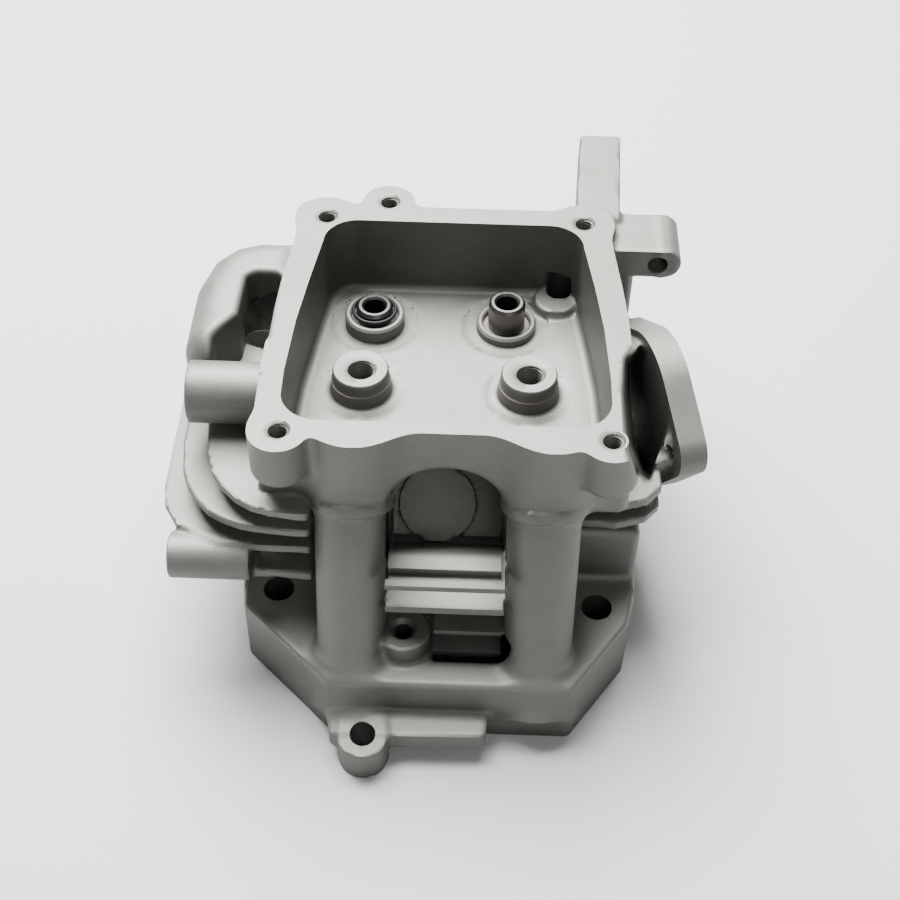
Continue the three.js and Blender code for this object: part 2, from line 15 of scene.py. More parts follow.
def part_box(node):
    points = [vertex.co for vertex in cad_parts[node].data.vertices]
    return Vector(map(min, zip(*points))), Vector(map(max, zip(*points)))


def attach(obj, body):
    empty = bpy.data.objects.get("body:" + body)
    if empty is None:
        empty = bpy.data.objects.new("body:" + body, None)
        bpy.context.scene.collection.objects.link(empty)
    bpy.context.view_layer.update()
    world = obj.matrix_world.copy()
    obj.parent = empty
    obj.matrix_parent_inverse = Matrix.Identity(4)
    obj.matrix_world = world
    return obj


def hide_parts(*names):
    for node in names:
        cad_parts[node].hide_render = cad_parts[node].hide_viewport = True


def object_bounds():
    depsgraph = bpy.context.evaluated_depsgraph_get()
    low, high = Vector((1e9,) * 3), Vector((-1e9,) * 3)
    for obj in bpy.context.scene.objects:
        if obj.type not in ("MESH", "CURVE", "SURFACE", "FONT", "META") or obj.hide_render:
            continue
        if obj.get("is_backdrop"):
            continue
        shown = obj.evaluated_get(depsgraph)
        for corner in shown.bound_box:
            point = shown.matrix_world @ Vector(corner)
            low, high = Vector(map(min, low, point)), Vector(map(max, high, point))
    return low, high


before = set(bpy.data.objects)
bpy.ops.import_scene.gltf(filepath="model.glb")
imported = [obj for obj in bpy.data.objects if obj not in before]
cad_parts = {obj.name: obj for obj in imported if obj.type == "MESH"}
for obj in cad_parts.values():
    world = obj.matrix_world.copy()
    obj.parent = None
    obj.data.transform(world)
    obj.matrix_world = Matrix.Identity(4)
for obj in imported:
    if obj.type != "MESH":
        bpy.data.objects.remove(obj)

cad_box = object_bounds()

# ---------- Casting: how its skin is worked out ----------
# The casting is described as metal added and metal cut away, each a distance in millimetres
# that is negative inside. Added metal melts into its neighbours with a fillet, as the die's
# rounded corners make it do, and machined cuts stay sharp.

CELL = 0.92
FAR = 12.0
steps = []


def add(shape, blend=0.0):
    """Metal joined on, with a fillet that reaches as far as blend."""
    steps.append((1, *shape, blend))


def cut(shape, blend=0.0):
    """Metal taken away, with its rim rounded as far as blend."""
    steps.append((-1, *shape, blend))


def melt(a, b, reach):
    """The lesser of two distances, lowered near where they are equal by a parabola."""
    if reach <= 0:
        return np.minimum(a, b)
    near = np.maximum(reach - np.abs(a - b), 0) / reach
    return np.minimum(a, b) - near * near * reach / 4


def bar(start, end, r0, r1=None, rounding=0.0):
    """A round bar: distance from its axis less its radius, or past its ends, whichever is more."""
    a, b = np.array(start, float), np.array(end, float)
    r1 = r0 if r1 is None else r1
    length = np.linalg.norm(b - a)
    axis = (b - a) / length
    slant = math.cos(math.atan2(r1 - r0, length))

    def distance(x, y, z):
        u, v, w = x - a[0], y - a[1], z - a[2]
        t = u * axis[0] + v * axis[1] + w * axis[2]
        away = np.sqrt(np.maximum(u * u + v * v + w * w - t * t, 0))
        side = (away - r0 - (r1 - r0) * t / length) * slant
        return rounded(side, np.abs(t - length / 2) - length / 2, rounding)

    grow = max(r0, r1)
    return distance, np.minimum(a, b) - grow, np.maximum(a, b) + grow


def rounded(p, q, radius):
    """Where two faces meet, the edge between them is an arc of this radius."""
    if radius <= 0:
        return np.maximum(p, q)
    p, q = p + radius, q + radius
    corner = np.sqrt(np.maximum(p, 0) ** 2 + np.maximum(q, 0) ** 2)
    return corner + np.minimum(np.maximum(p, q), 0) - radius


def outline(points, x, y):
    """Distance to a closed polygon, from its nearest side, with its sign by ray crossings."""
    points = np.array(points, float)
    nearest = np.full(np.broadcast(x, y).shape, 1e9)
    inside = np.zeros(nearest.shape, bool)
    for (ax, ay), (bx, by) in zip(points, np.roll(points, -1, 0)):
        dx, dy = bx - ax, by - ay
        t = np.clip(((x - ax) * dx + (y - ay) * dy) / (dx * dx + dy * dy), 0, 1)
        nearest = np.minimum(nearest, (x - ax - t * dx) ** 2 + (y - ay - t * dy) ** 2)
        if ay != by:
            straddles = (ay > y) != (by > y)
            inside ^= straddles & (x < dx * (y - ay) / dy + ax)
    return np.where(inside, -1.0, 1.0) * np.sqrt(nearest)


def inset(points, depth):
    """Each side of a polygon moved inwards, with new corners where they meet."""
    points = np.array(points, float)
    after = np.roll(points, -1, 0)
    if np.sum(points[:, 0] * after[:, 1] - points[:, 1] * after[:, 0]) < 0:
        points = points[::-1]
    ahead = np.roll(points, -1, 0) - points
    ahead /= np.linalg.norm(ahead, axis=1, keepdims=True)
    inward = np.stack([-ahead[:, 1], ahead[:, 0]], 1)
    before = np.roll(inward, 1, 0)
    share = 1 + np.sum(inward * before, axis=1, keepdims=True)
    return points + depth * (inward + before) / share


def slab(points, z0, z1, corner=0.0, top=0.0, bottom=0.0, draft=0.0):
    """A plan outline standing from z0 to z1. Corner rounds its plan, top and bottom its rims."""
    inner = inset(points, corner)

    def distance(x, y, z):
        side = outline(inner, x, y) - corner + draft * (z - z0)
        return np.maximum(rounded(side, z - z1, top), rounded(side, z0 - z, bottom))

    return distance, np.append(np.min(points, 0), z0), np.append(np.max(points, 0), z1)


def turned(shape, place, axes, reach):
    """A shape made on its own axes, then carried to a place. Axes are its x, y and z in the head."""
    inner = shape[0]
    place = np.array(place, float)
    axes = np.array(axes, float)

    def distance(x, y, z):
        u, v, w = x - place[0], y - place[1], z - place[2]
        local = [u * a[0] + v * a[1] + w * a[2] for a in axes]
        return inner(*local)

    return distance, place - reach, place + reach


def brick(x, y, z, rounding=0.0):
    """A rectangular block between two values on each axis."""
    points = [(x[0], y[0]), (x[1], y[0]), (x[1], y[1]), (x[0], y[1])]
    return slab(points, z[0], z[1], corner=rounding, top=rounding, bottom=rounding)


def post(x, y, z0, z1, r0, r1=None, rounding=0.0):
    """An upright bar."""
    return bar((x, y, z0), (x, y, z1), r0, r1, rounding)


def common(*shapes):
    """Where all the shapes overlap."""
    def distance(x, y, z):
        return np.maximum.reduce([s[0](x, y, z) + np.zeros(np.broadcast(x, y, z).shape) for s in shapes])

    return distance, np.maximum.reduce([s[1] for s in shapes]), np.minimum.reduce([s[2] for s in shapes])


def skin_distance(x, y, z, low, high):
    """Distance to the whole casting, with only the shapes that come near the given box."""
    d = np.full(np.broadcast(x, y, z).shape, FAR)
    for sign, shape, lo, hi, blend in steps:
        margin = blend + 2 * CELL
        if np.any(lo - margin > high) or np.any(hi + margin < low):
            continue
        if sign > 0:
            d = melt(d, shape(x, y, z), blend)
        else:
            d = -melt(-d, shape(x, y, z), blend)
    return d


def blocks(count, size=40):
    """The grid cut into blocks along each axis."""
    for i in range(0, count[0], size):
        for j in range(0, count[1], size):
            for k in range(0, count[2], size):
                yield [slice(s, min(s + size, n)) for s, n in zip((i, j, k), count)]


def sample(low, count):
    """The distance at every grid point, worked out block by block."""
    axes = [low[a] + CELL * np.arange(count[a]) for a in range(3)]
    field = np.empty(count, np.float32)
    for part in blocks(count):
        x, y, z = (axes[a][part[a]] for a in range(3))
        lo, hi = np.array([x[0], y[0], z[0]]), np.array([x[-1], y[-1], z[-1]])
        field[tuple(part)] = skin_distance(x[:, None, None], y[None, :, None], z[None, None, :], lo, hi)
    return field


TILTS = np.array([(1, -1, -1), (-1, -1, 1), (-1, 1, -1), (1, 1, 1)], float)
PROBE = 0.02
REGION = 16.0


def settled(points):
    """Points moved onto the skin, and its direction there, from the distance at four corners
    round each point. Points are taken region by region, so that far shapes are left out."""
    outward = np.zeros_like(points)
    moved = points.copy()
    region = np.unique(np.floor(points / REGION).astype(int), axis=0, return_inverse=True)[1].ravel()
    order = np.argsort(region, kind="stable")
    ends = np.flatnonzero(np.diff(region[order])) + 1
    for group in np.split(order, ends):
        p = points[group]
        lo, hi = p.min(0) - 1, p.max(0) + 1
        slope = np.zeros_like(p)
        depth = np.zeros((len(p), 1))
        for tilt in TILTS:
            q = p + PROBE * tilt
            d = skin_distance(q[:, 0], q[:, 1], q[:, 2], lo, hi)[:, None]
            slope += d * tilt
            depth += d / len(TILTS)
        length = np.maximum(np.linalg.norm(slope, axis=1, keepdims=True), 1e-9)
        outward[group] = slope / length
        shift = np.clip(depth * len(TILTS) * PROBE / length, -CELL / 2, CELL / 2)
        moved[group] = p - shift * outward[group]
    return moved, outward


STIFFNESS = 0.04
FURTHEST = 0.75


def skin(field, low):
    """A mesh of the zero surface. Each crossed grid edge gives a point and a direction, and each
    cell's vertex is where its tangent planes come closest together, so sharp rims stay sharp."""
    count = np.array(field.shape)
    solid = field < 0
    cells = count - 1
    at, quads = [], []
    for axis in range(3):
        head, tail = [slice(None)] * 3, [slice(None)] * 3
        head[axis], tail[axis] = slice(1, None), slice(None, -1)
        a, b = field[tuple(tail)], field[tuple(head)]
        crossed = solid[tuple(tail)] != solid[tuple(head)]
        index = np.argwhere(crossed)
        others = [k for k in range(3) if k != axis]
        keep = np.all((index[:, others] > 0) & (index[:, others] < cells[others]), axis=1)
        index = index[keep]
        va, vb = a[tuple(index.T)], b[tuple(index.T)]
        point = index.astype(float)
        point[:, axis] += va / (va - vb)
        near = []
        for du, dv in ((0, 0), (-1, 0), (-1, -1), (0, -1)):
            cell = index.copy()
            cell[:, others[0]] += du
            cell[:, others[1]] += dv
            near.append((cell[:, 0] * cells[1] + cell[:, 1]) * cells[2] + cell[:, 2])
        near = np.stack(near, 1)
        flip = (va < 0) != (axis == 1)
        near[~flip] = near[~flip, ::-1]
        at.append(point)
        quads.append(near)
    at, quads = np.vstack(at), np.vstack(quads)
    place, direction = settled(low + CELL * at)
    used, faces = np.unique(quads, return_inverse=True)
    faces = faces.reshape(quads.shape)
    flat = faces.ravel()
    who = np.repeat(np.arange(len(at)), 4)
    total = np.bincount(flat, minlength=len(used))
    middle = np.stack([np.bincount(flat, place[who, k], len(used)) for k in range(3)], 1) / total[:, None]
    n = direction[who]
    offset = np.sum(n * (place[who] - middle[flat]), axis=1)
    matrix = np.empty((len(used), 3, 3))
    right = np.empty((len(used), 3))
    for i in range(3):
        right[:, i] = np.bincount(flat, n[:, i] * offset, len(used))
        for j in range(i, 3):
            matrix[:, i, j] = matrix[:, j, i] = np.bincount(flat, n[:, i] * n[:, j], len(used))
    matrix += STIFFNESS * np.eye(3)
    move = np.linalg.solve(matrix, right[:, :, None])[:, :, 0]
    reach = np.maximum(np.abs(move).max(1) / (FURTHEST * CELL), 1)
    return middle + move / reach[:, None], faces


# ---------- Casting: deck flange ----------
# The thick plate that is bolted to the cylinder through its gasket. Its underside is
# milled flat, and its rim is as cast, with a small round all the way along.

DECK_TOP = 23
COVER_Z = 93
FLOOR_Z = 67
DECK_PLAN = [(-28, -76), (41, -76), (57.5, -52), (60, -40), (60, 40), (44, 68), (-38, 68),
             (-56, 45), (-55.5, -40), (-54, -50)]
add(slab(DECK_PLAN, 0, DECK_TOP, corner=3, top=1.6))
HEAD_BOLTS = ((-44.5, -43.5), (48.5, -46.5), (-40, 58), (30, 58))
HEAD_BOLT_R = 4.5
add(post(*HEAD_BOLTS[2], 0, DECK_TOP, 2 * HEAD_BOLT_R, rounding=1.4), 4)

# ---------- Casting: front ledge and lug ----------
# A thin ledge below the deck's front edge carries a lug for a cowling screw.

LUG = (-17.3, -85)
add(slab([(-27, -85.3), (17, -84.2), (18, -72), (-27, -72)], 5.5, 11, corner=2, top=1), 1.5)
add(post(*LUG, 0, 11, 7, rounding=0.5), 2)
add(brick((LUG[0] - 6.5, LUG[0] + 6.5), (LUG[1], -75), (0, 11), 0.8), 2)

# ---------- Casting: rocker box ----------
# An open-topped box with rounded corner bosses for the cover screws and two lobes over the
# push rods. The outside has its die draft, and the rim is milled flat for the cover gasket.

BOX_PLAN = [(-43.2, 49.3), (-43.6, 30), (-45.4, 13), (-46.4, 0), (-47, -20), (-46.6, -46.4),
            (53.6, -46.4), (54, -20), (53.4, 0), (52.4, 13), (50.6, 30), (49.2, 49.3)]
ROOM_PLAN = [(-34.6, 42.0), (-35.0, 32), (-37.6, 12), (-39.4, -4), (-40.5, -24), (-40.3, -42.6),
             (47.3, -42.6), (47.4, -24), (46.4, -4), (44.4, 14), (41.8, 32), (41.2, 42.0)]
FRONT_SCREW = (43.35, -46.75)
REAR_SCREW = (38.55, 43.75)
BOX_X = 3.5
SCREWS = [(BOX_X - FRONT_SCREW[0], FRONT_SCREW[1], 8), (BOX_X + FRONT_SCREW[0], FRONT_SCREW[1], 8),
          (BOX_X - REAR_SCREW[0], REAR_SCREW[1], 9), (BOX_X + REAR_SCREW[0], REAR_SCREW[1], 9)]
REAR_EAR = (-16.8, 51.6)
TUBE_X = (-21.5, 31)

add(slab(BOX_PLAN, 63, COVER_Z, corner=3, bottom=3), 2)
for x in TUBE_X:
    add(post(x + 1, -39.4, 70, COVER_Z, 12.4, 13, rounding=0), 7)
for x, y, r in SCREWS:
    add(post(x, y, COVER_Z - 15, COVER_Z + 4, r, rounding=2.5), 3)
add(post(*REAR_EAR, COVER_Z - 14, COVER_Z + 4, 7.8, rounding=2.5), 4)
cut(brick((-90, 90), (-70, 70), (COVER_Z, COVER_Z + 20)))
cut(slab(ROOM_PLAN, FLOOR_Z, COVER_Z + 20, corner=10, bottom=2.4))

# ---------- Casting: push-rod tubes ----------
# Two leaning tubes carry the push rods from the deck to the box. A low collar runs round the
# head of each, under its lobe.

TUBE_Y = -64.4
TUBE_LEAN = 0.466


def push_rod_point(x, z):
    """Where a push rod's line crosses a height."""
    return (x, TUBE_Y + TUBE_LEAN * (z - DECK_TOP), z)


for x in TUBE_X:
    add(bar(push_rod_point(x, 8), push_rod_point(x, 74), 9.3, 10.6), 4.5)

# ---------- Casting: body round the ports ----------
# The block between the deck and the rocker box that holds both ports.

add(slab([(-40, 47), (-36, -28), (40, -28), (42, 47)], 18, 64, corner=2), 4)

# ---------- Casting: air passage ----------
# Cooling air is blown between the tubes, under the arched front of the box, and over a
# sloping baffle with a round pad. Fins stand across its lower front.

PASSAGE_X = 4.2
PASSAGE_R = 16.2
SLOPE = 0.9
add(brick((-12, 21), (-52, -26), (18, 51)), 1.5)


PASSAGE_BACK = -12.0
PASSAGE_FLOOR = 30
MOUTH = (-46.5, 63.8)


def arch(radius, drop):
    """A tunnel with a round roof, which falls towards the back from its mouth."""
    def distance(x, y, z):
        fall = z - (MOUTH[1] - SLOPE * (y - MOUTH[0]))
        across = np.abs(x - PASSAGE_X) - radius
        roof = np.sqrt((x - PASSAGE_X) ** 2 + np.maximum(fall, 0) ** 2) - radius
        tunnel = np.where(fall > 0, roof, across)
        sides = [tunnel, -drop - fall, y - PASSAGE_BACK, PASSAGE_FLOOR - z]
        return np.maximum.reduce([np.broadcast_to(side, tunnel.shape) for side in sides])

    near = np.array([PASSAGE_X - radius, -90, PASSAGE_FLOOR])
    far = np.array([PASSAGE_X + radius, PASSAGE_BACK, 100])
    return distance, near, far


cut(arch(PASSAGE_R, 19), 1.2)
PAD = np.array([1.2, -21.5, 38.3])
UP_SLOPE = np.array([0, 0.694, 0.72])
OUT = np.array([0, -0.72, 0.694])
baffle = slab([(-16.5, -9.4), (15.5, -9.4), (15.5, 18), (-16.5, 18)], -6, 0)
add(turned(baffle, PAD + (3.4, 0, 0), [(1, 0, 0), UP_SLOPE, OUT], 30), 0.8)
add(bar(PAD - 3 * OUT, PAD + 1.6 * OUT, 11.4, rounding=0.5), 0.8)
cut(brick((1.5, 24), (-67, -50), (13, 30), 1), 2)
FIN_TOPS = ((51, -12), (41.5, -12), (31.8, 1.6), (22.3, 1.6))
for top, x0 in FIN_TOPS:
    add(brick((x0, 21), (-63.5, -50), (top - 2, top), 0.7), 1.2)
cut(brick((-11.6, 20), (-60.5, -27), (44, 53), 0.5), 1.2)
SMALL_BOSS = (-7, -61.5)
SMALL_BOSS_TOP = 29.5
add(post(*SMALL_BOSS, 18, SMALL_BOSS_TOP, 8, 7.6, rounding=0.6), 2)

# ---------- Casting: intake side ----------
# The runner takes the intake port out to an upright flange. Webs join the flange to the box,
# with a deep pocket between them, and fins stand below.

FLANGE_REAR = np.array([59.3, 32.5, 0])
YAW = math.atan2(18, 59)
ALONG = np.array([math.sin(YAW), -math.cos(YAW), 0])
INWARD = np.array([-math.cos(YAW), -math.sin(YAW), 0])
UP = np.array([0, 0, 1.0])
FLANGE_DISCS = [(31, 62, 21), (52.5, 63, 8.3), (31, 50, 18), (9.5, 38, 8.3), (8, 64, 7)]
FLANGE_STUDS = [(52.5, 63), (9.5, 38)]


def round_discs(discs, count=72):
    """The outline of a band stretched round a set of discs (x, y, radius)."""
    x, y, r = np.array(discs, float).T
    angle = (np.arange(count) + 0.5) / count * 2 * math.pi
    reach = np.outer(np.cos(angle), x) + np.outer(np.sin(angle), y) + r
    best = reach.argmax(1)
    return np.stack([x[best] + r[best] * np.cos(angle), y[best] + r[best] * np.sin(angle)], 1)


def on_flange(shape):
    """A shape drawn as (along, height, depth) carried to the flange's own plane."""
    return turned(shape, FLANGE_REAR, [ALONG, UP, INWARD], 95)


def flange_point(along, height, depth):
    """A point on the flange's own axes, placed in the head."""
    return FLANGE_REAR + along * ALONG + height * UP + depth * INWARD


add(brick((36, 60), (-35, 44), (18, 43), 2), 3)
INTAKE_FIN = [(39, -37.5), (52, -38.5), (60, -36), (64.5, -31), (64.5, -16), (60, 40), (39, 44)]
for top in (59, 51.5):
    add(slab(INTAKE_FIN, top - 3, top, corner=2, top=0.9, bottom=0.9), 1.6)
WEB_DISCS = [(31, 61, 19.5), (50, 62, 6), (31, 50, 16.5), (8, 62, 6)]
add(common(on_flange(slab(round_discs(WEB_DISCS), 0, 30)), brick((50, 80), (-30, 40), (30, 84))), 2.5)
POCKET = [(12.7, 58), (15.8, 48), (24, 36), (33, 33), (38, 35), (40, 45), (45.5, 69), (44, 74),
          (34, 77), (24, 75), (18, 70)]
TO_LIGHT = np.array([-0.14, -0.70, 0.70])
LEAN = [ALONG @ TO_LIGHT, UP @ TO_LIGHT, INWARD @ TO_LIGHT]
POCKET_FLOOR = 5
POCKET_ROUND = 4
POCKET_SIDES = inset(POCKET, POCKET_ROUND)


def pocket(x, y, z):
    """The pocket's mouth, sheared so that its walls lean forwards and up."""
    depth = z - POCKET_FLOOR
    mouth = outline(POCKET_SIDES, x - LEAN[0] / LEAN[2] * depth, y - LEAN[1] / LEAN[2] * depth)
    return np.maximum(mouth - POCKET_ROUND, -depth)


cut(on_flange([pocket]), 2)
add(on_flange(slab(round_discs(FLANGE_DISCS), 0, 8, top=0, bottom=0)), 1.2)
INTAKE_PORT = ((19.9, 25.5, 33), (79, 6, 51))
behind_flange = on_flange(slab(round_discs([(31, 55, 60)]), 0.2, 60))
add(common(bar(*INTAKE_PORT, 17), behind_flange, brick((36, 80), (-30, 45), (18, 80))), 3)

# ---------- Casting: exhaust side ----------
# The exhaust port leaves to the rear left. A curved hood shelters the spark plug above it.
# Fins step out below, and two bosses take the cowling screws.

housing = bar((-30, 28.5, 32.6), (-80, 37.5, 36.5), 18.5, 17)
add(common(housing, brick((-72, -30), (8, 60), (18, 53))), 3)
HOOD = [(-40, 46), (-56, 46), (-64, 43), (-70, 36), (-73, 24), (-73, 0), (-70, -6), (-62, -7),
        (-40, -7)]
add(slab(HOOD, 60, 85, corner=7, top=11), 3)
PLUG_AXIS = np.array([-0.553, 0.378, 0.742])
PLUG_SEAT = np.array([-50.5, 20.2, 63.5])
WELL = [(-46.9, 27), (-55, 27), (-57.5, 25), (-58, 8), (-64, -1), (-64, -12), (-46.9, -12)]
cut(slab(WELL, 67, 100, corner=2.5), 2.5)
plug_room = bar(PLUG_SEAT, PLUG_SEAT + 12 * PLUG_AXIS, 8.5)
cut(common(plug_room, brick((-64, -46.9), (0, 34), (60, 100))), 1)
FINS = [
    ((65, 68), [(-32.6, -54), (-43, -52.6), (-48.4, -51), (-52.8, -48.3), (-57, -44), (-60.4, -38.7),
                (-62.6, -31), (-64, -21), (-64, -8), (-32.6, -8)]),
    ((57.2, 60), [(-32.6, -53), (-46, -52), (-52, -51), (-57, -49), (-61.5, -46.3), (-65.4, -42),
                  (-68.4, -37), (-70.4, -31.6), (-72, -20), (-72, 12), (-32.6, 14)]),
    ((49.3, 52), [(-32.6, -52), (-47, -51.6), (-59, -50.4), (-71, -45), (-75.6, -37.2), (-76.8, -30),
                  (-77, -12), (-77, 4.4), (-75, 11), (-32.6, 16)]),
    ((38.5, 41.5), [(-32.6, -52.5), (-60, -51), (-62, -40), (-62, 6), (-32.6, 6)]),
]
for (z0, z1), plan in FINS:
    add(slab(plan, z0, z1, corner=1.5, top=0.9, bottom=0.9), 1.6)
LOWER_BOSS = (-50, 45)
UPPER_BOSS = (-17, 76.8)
add(bar((-72.8, *LOWER_BOSS), (-50, *LOWER_BOSS), 6.5, rounding=0.8), 2)
add(bar((-69, *UPPER_BOSS), (-42, *UPPER_BOSS), 8.8, rounding=1.2), 2)

# ---------- Casting: bracket at the rear right ----------
# A square arm reaches back and a shorter ear reaches out, each cross-drilled for a screw.

add(slab([(39.8, 48), (53.2, 48), (55.4, 92), (42.4, 92)], 80, 91.5, corner=1.5, top=1, bottom=1), 2)
add(common(brick((44, 66.5), (35, 53.5), (80, 90), 1.2), brick((40, 80), (30, 60), (70, 100))), 2)
add(bar((66.5, 35, 85), (66.5, 53.5, 85), 5, rounding=1), 1)
add(brick((50, 58), (37, 46), (58, 82), 1.5), 3)

# ---------- Casting: seats on the rocker box floor ----------
# Collars finish the tube heads, and the box is cleared again inside. Round spot faces are
# milled round the guides, each in its hub, and round the stud bosses, which are short posts.

SIDES = {
    "exhaust": {"x": -19.9, "throat": 12.2, "seat": 16, "hub": 4.2, "stud": -22, "guide_top": 74},
    "intake": {"x": 19.9, "throat": 14, "seat": 18, "hub": 2.4, "stud": 26.5, "guide_top": 76.8},
}
VALVE_Y = 25.5
STUD_Y = -3.5
COLLAR_Z = (63.8, 67.2)
COLLAR_R = 11.9
for x in TUBE_X:
    add(bar(push_rod_point(x, COLLAR_Z[0]), push_rod_point(x, COLLAR_Z[1]), COLLAR_R, rounding=1), 0.8)
cut(slab(ROOM_PLAN, FLOOR_Z, COVER_Z + 20, corner=10, bottom=2.4))
for side in SIDES.values():
    cut(post(side["x"], VALVE_Y, FLOOR_Z - 0.5, COVER_Z, 13.3))
    cut(post(side["stud"], STUD_Y, FLOOR_Z - 0.35, COVER_Z, 12.4))
    add(post(side["x"], VALVE_Y, FLOOR_Z - 2, FLOOR_Z + side["hub"] - 2, 8.7), 0.6)
    add(post(side["stud"], STUD_Y, FLOOR_Z - 2, FLOOR_Z + 7, 9.2, 7.4), 1.6)
add(common(post(35, 36.5, FLOOR_Z - 2, FLOOR_Z + 2.4, 7.5, 6.5, rounding=1),
           slab(ROOM_PLAN, 60, 90)), 1.5)

# ---------- Casting: machined bores and holes ----------
# Drilled and bored after casting, so their rims are sharp: bolt holes, tappings, push-rod bores,
# ports with their throats, the combustion chamber, and the pockets for the seats and guides.

for x in TUBE_X:
    cut(post(x, TUBE_Y, -2, DECK_TOP, 6))
    cut(bar(push_rod_point(x, DECK_TOP - 2), push_rod_point(x, COVER_Z - 8), 6))
for x, y in HEAD_BOLTS:
    cut(post(x, y, -2, 60, HEAD_BOLT_R))
cut(post(*LUG, -2, 14, 3.6))
for x, y, r in SCREWS:
    cut(post(x, y, COVER_Z - 13, COVER_Z + 1, 3.5))
cut(post(*REAR_EAR, COVER_Z - 13, COVER_Z + 1, 3.5))
cut(post(*SMALL_BOSS, 16, SMALL_BOSS_TOP + 1.5, 2.6))
cut(post(*SMALL_BOSS, SMALL_BOSS_TOP - 1.2, SMALL_BOSS_TOP + 0.1, 2.6, 4.0))
OIL_DRAIN = ((35.5, 38.5, 56), (36.4, 41.5, 75))
cut(bar(*OIL_DRAIN, 3.9), 0.8)
cut(bar((30, 84, 86), (70, 84, 86), 3))
cut(bar((64.5, 30, 85), (64.5, 60, 85), 3))
for along, height in FLANGE_STUDS:
    cut(bar(flange_point(along, height, -2), flange_point(along, height, 14), 3.3))
cut(bar((-74, *LOWER_BOSS), (-60, *LOWER_BOSS), 2.6))
cut(bar((-71, *UPPER_BOSS), (-57, *UPPER_BOSS), 2.6))

for side in SIDES.values():
    cut(post(side["x"], VALVE_Y, 9, 34, side["throat"]))
    cut(post(side["x"], VALVE_Y, 9, 19.3, side["seat"] + 0.02))
    cut(post(side["x"], VALVE_Y, 40, 90, 5.52))
    cut(post(side["stud"], STUD_Y, FLOOR_Z - 6, FLOOR_Z + 9, 5))
    cut(post(side["x"], VALVE_Y, -3, 12, side["seat"] + 2.5, side["seat"] + 1, rounding=0), 1.5)
cut(post(-3, 0, -3, 12, 21, 17), 3)
cut(post(0, VALVE_Y - 6, -3, 12, 20, 18), 2)
cut(bar(*INTAKE_PORT, 13), 1.5)
EXHAUST_PORT = ((-19.9, 25.5, 31), (-80, 36, 34))
PLUG_HOLE = ((-60.5, 27, 71), (-15, -4, 10))
cut(bar(*EXHAUST_PORT, 11.5), 1.5)
cut(bar(*PLUG_HOLE, 6.2))

# ---------- Casting: the pieces it is drawn in ----------
# The real casting is one piece. Its skin is drawn in closed blocks that meet on flat planes,
# and the CAD sections other than the steel parts are hidden.

LOW = np.array([-79.0, -94.0, -2.0])
HIGH = np.array([79.5, 94.0, 95.0])
SPLIT_Z = 64.7
SPLIT_X = (-11.7, 20.9)
SHARP = math.radians(38)
count = np.ceil((HIGH - LOW) / CELL).astype(int)
points, faces = skin(sample(LOW, count), LOW)


def mesh_piece(name, points, faces):
    """A piece from points in metres and faces that all have the same number of sides."""
    mesh = bpy.data.meshes.new(name)
    sides = faces.shape[1]
    mesh.vertices.add(len(points))
    mesh.vertices.foreach_set("co", np.asarray(points, np.float32).ravel())
    mesh.loops.add(faces.size)
    mesh.loops.foreach_set("vertex_index", faces.astype(np.int32).ravel())
    mesh.polygons.add(len(faces))
    mesh.polygons.foreach_set("loop_start", np.arange(0, faces.size, sides, dtype=np.int32))
    mesh.update(calc_edges=True)
    return mesh_object(name, mesh)


def mesh_object(name, mesh):
    """A piece from a mesh, smooth but for its sharp rims."""
    mesh.shade_smooth()
    mesh.set_sharp_from_angle(angle=SHARP)
    piece = bpy.data.objects.new(name, mesh)
    bpy.context.scene.collection.objects.link(piece)
    return piece


def halved(mesh, name, axis, at, away):
    """A copy of a closed mesh cut by a plane across an axis, with the side that away points to
    (1 or -1) removed and most of the cut closed by flat triangles."""
    spot, normal = [0, 0, 0], [0, 0, 0]
    spot[axis], normal[axis] = at / 1000, away
    half = bmesh.new()
    half.from_mesh(mesh)
    everything = half.verts[:] + half.edges[:] + half.faces[:]
    made = bmesh.ops.bisect_plane(half, geom=everything, dist=1e-7, plane_co=spot, plane_no=normal,
                                  clear_outer=True)["geom_cut"]
    rim = [edge for edge in made if isinstance(edge, bmesh.types.BMEdge)]
    corners = list({corner: None for edge in rim for corner in edge.verts})
    number = {corner: index for index, corner in enumerate(corners)}
    across = [other for other in range(3) if other != axis]
    flat = [Vector([1000 * corner.co[other] for other in across]) for corner in corners]
    sides = [(number[edge.verts[0]], number[edge.verts[1]]) for edge in rim]
    spots, _, triangles, sources, _, _ = delaunay_2d_cdt(flat, sides, [], 0, 1e-5)
    triangles = np.array([triangle for triangle in triangles if len(triangle) == 3])
    middles = np.empty((len(triangles), 3))
    middles[:, across] = np.array(spots)[triangles].mean(axis=1)
    middles[:, axis] = at
    inside = skin_distance(*middles.T, LOW, -LOW) < 0
    turn = (away > 0) == (axis != 1)
    for triangle in triangles[inside]:
        lid = [corners[sources[index][0]] for index in triangle if sources[index]]
        if len(set(lid)) == 3:
            half.faces.new(lid if turn else lid[::-1])
    part = bpy.data.meshes.new(name)
    half.to_mesh(part)
    half.free()
    return part


